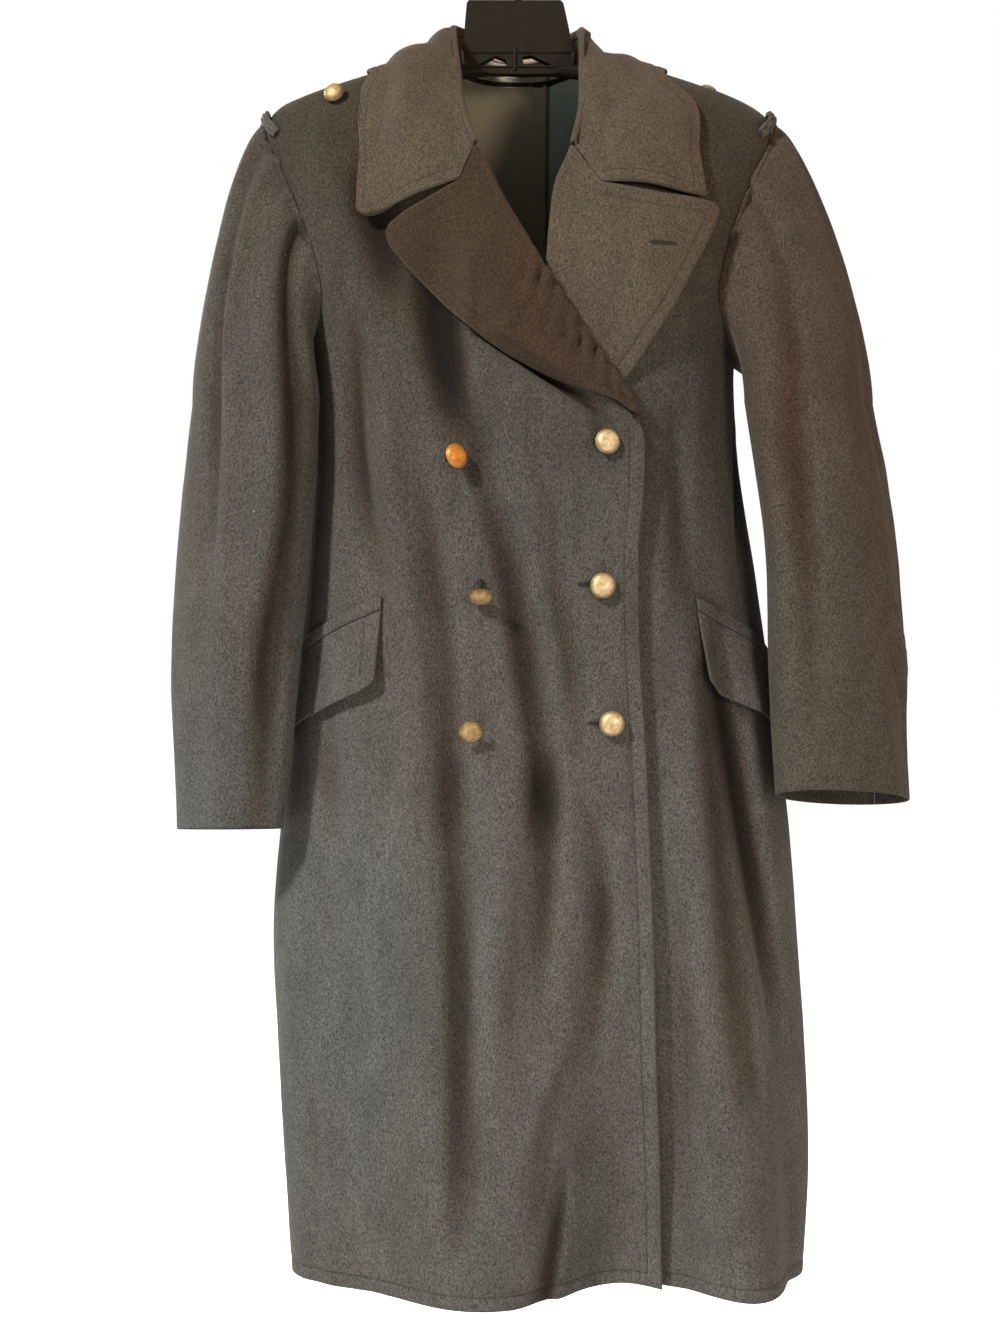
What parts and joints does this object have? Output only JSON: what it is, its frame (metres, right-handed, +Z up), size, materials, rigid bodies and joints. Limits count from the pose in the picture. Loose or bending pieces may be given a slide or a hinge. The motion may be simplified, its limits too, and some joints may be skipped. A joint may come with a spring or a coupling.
{
  "type": "military greatcoat on a hanger",
  "caption": "Long double-breasted military greatcoat in heavy wool with wide lapels, domed brass buttons, shoulder loops and pocket flaps, hanging on a moulded plastic hanger.",
  "frame": {"origin": "underside of the hanger hook's crown, where a rail carries it", "axes": "+Z up, the coat's front faces -Y, +X is the wearer's left"},
  "size_m": [0.7096, 0.2779, 1.2862],
  "materials": {
    "wool": "heavy fulled wool cloth, grey with a green-brown cast, matt",
    "lining": "smooth olive-grey lining cloth, slight sheen",
    "brass": "aged brass, satin",
    "black_plastic": "moulded dark plastic, semi-matt",
    "label": "blank woven label",
    "tab": "blank white woven tab"
  },
  "bodies": {
    "root": {"back": "wool", "front_right": "wool", "front_left": "wool", "lapel_right": "wool", "lapel_left": "wool", "collar_fall": "wool", "collar_stand": "wool", "sleeve_right": "wool", "sleeve_left": "wool", "under_sleeve_right": "wool", "under_sleeve_left": "wool", "flap_right": "wool", "flap_left": "wool", "welt_right": "wool", "welt_left": "wool", "shoulder_loop_right": "wool", "shoulder_loop_left": "wool", "lining_back": "lining", "button_fastened_1": "brass", "button_fastened_2": "brass", "button_fastened_3": "brass", "button_outer_1": "brass", "button_outer_2": "brass", "button_outer_3": "brass", "button_shoulder_right": "brass", "button_shoulder_left": "brass", "hanger": "black_plastic", "neck_label": "label", "size_tab": "tab"}
  },
  "joints": []
}
